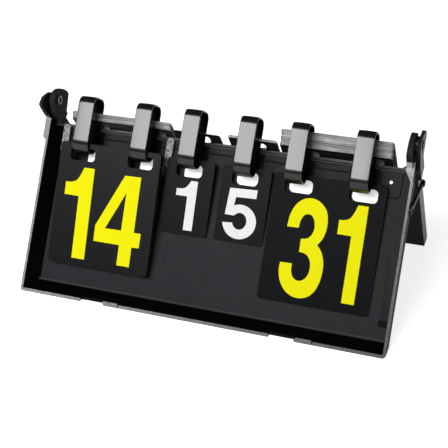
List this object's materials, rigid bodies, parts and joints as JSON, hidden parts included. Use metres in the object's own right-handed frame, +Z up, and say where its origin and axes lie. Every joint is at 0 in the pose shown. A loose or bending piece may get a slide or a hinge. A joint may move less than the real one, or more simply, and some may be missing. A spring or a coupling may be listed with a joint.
{
  "type": "tabletop flip scoreboard",
  "caption": "Folding tabletop scoreboard: two hinged tray shells in an A-frame, flat band rings and flip-over number cards in large and small decks.",
  "frame": {"origin": "on the table, directly under the pivot line, midway across the width", "axes": "+X to the right as seen from the front, +Y to the back, +Z up; the front shell leans from -Y"},
  "size_m": [0.3896, 0.2252, 0.1766],
  "materials": {
    "shell_plastic": "satin",
    "ring_plastic": "gloss",
    "card_sheet": "satin",
    "pin_plastic": "gloss",
    "stay_plastic": "satin",
    "post_plastic": "satin"
  },
  "bodies": {
    "front": {"front_shell": "shell_plastic", "left_hinge_pin": "pin_plastic", "right_hinge_pin": "pin_plastic", "ring_1": "ring_plastic", "ring_2": "ring_plastic", "ring_3": "ring_plastic", "ring_4": "ring_plastic", "ring_5": "ring_plastic", "ring_6": "ring_plastic", "home_points_cards_left": "card_sheet", "home_sets_cards_left": "card_sheet", "guest_sets_cards_left": "card_sheet", "left_post": "post_plastic", "centre_post": "post_plastic"},
    "rear": {"rear_shell": "shell_plastic", "stay_pin": "pin_plastic", "home_points_flipped_cards": "card_sheet", "home_sets_flipped_cards": "card_sheet", "guest_sets_flipped_cards": "card_sheet", "guest_points_flipped_cards": "card_sheet"},
    "stay": {"stay": "stay_plastic"},
    "home_points_card": {"home_points_shown_card": "card_sheet"},
    "home_sets_card": {"home_sets_shown_card": "card_sheet"},
    "guest_sets_card": {"guest_sets_shown_card": "card_sheet"},
    "guest_points_card": {"guest_points_shown_card": "card_sheet"}
  },
  "joints": [
    {"name": "fold", "type": "hinge", "parent": "front", "child": "rear", "pos_m": [0, 0, 0.1662], "axis": [1, 0, 0], "range_deg": [0, 292], "deforming": ["home_points_flipped_cards", "home_sets_flipped_cards", "guest_sets_flipped_cards", "guest_points_flipped_cards"]},
    {"name": "stay_pivot", "type": "hinge", "parent": "rear", "child": "stay", "pos_m": [0.19, 0.034, 0.108], "axis": [1, 0, 0], "range_deg": [0, 118]},
    {"name": "home_points_flip", "type": "hinge", "parent": "front", "child": "home_points_card", "pos_m": [-0.112, -0.02157, 0.13389], "axis": [1, 0, 0], "range_deg": [-110, 0]},
    {"name": "home_sets_flip", "type": "hinge", "parent": "front", "child": "home_sets_card", "pos_m": [-0.0289, -0.02157, 0.13389], "axis": [1, 0, 0], "range_deg": [-110, 0]},
    {"name": "guest_sets_flip", "type": "hinge", "parent": "front", "child": "guest_sets_card", "pos_m": [0.0289, -0.02157, 0.13389], "axis": [1, 0, 0], "range_deg": [-110, 0]},
    {"name": "guest_points_flip", "type": "hinge", "parent": "front", "child": "guest_points_card", "pos_m": [0.112, -0.02157, 0.13389], "axis": [1, 0, 0], "range_deg": [-110, 0]}
  ]
}
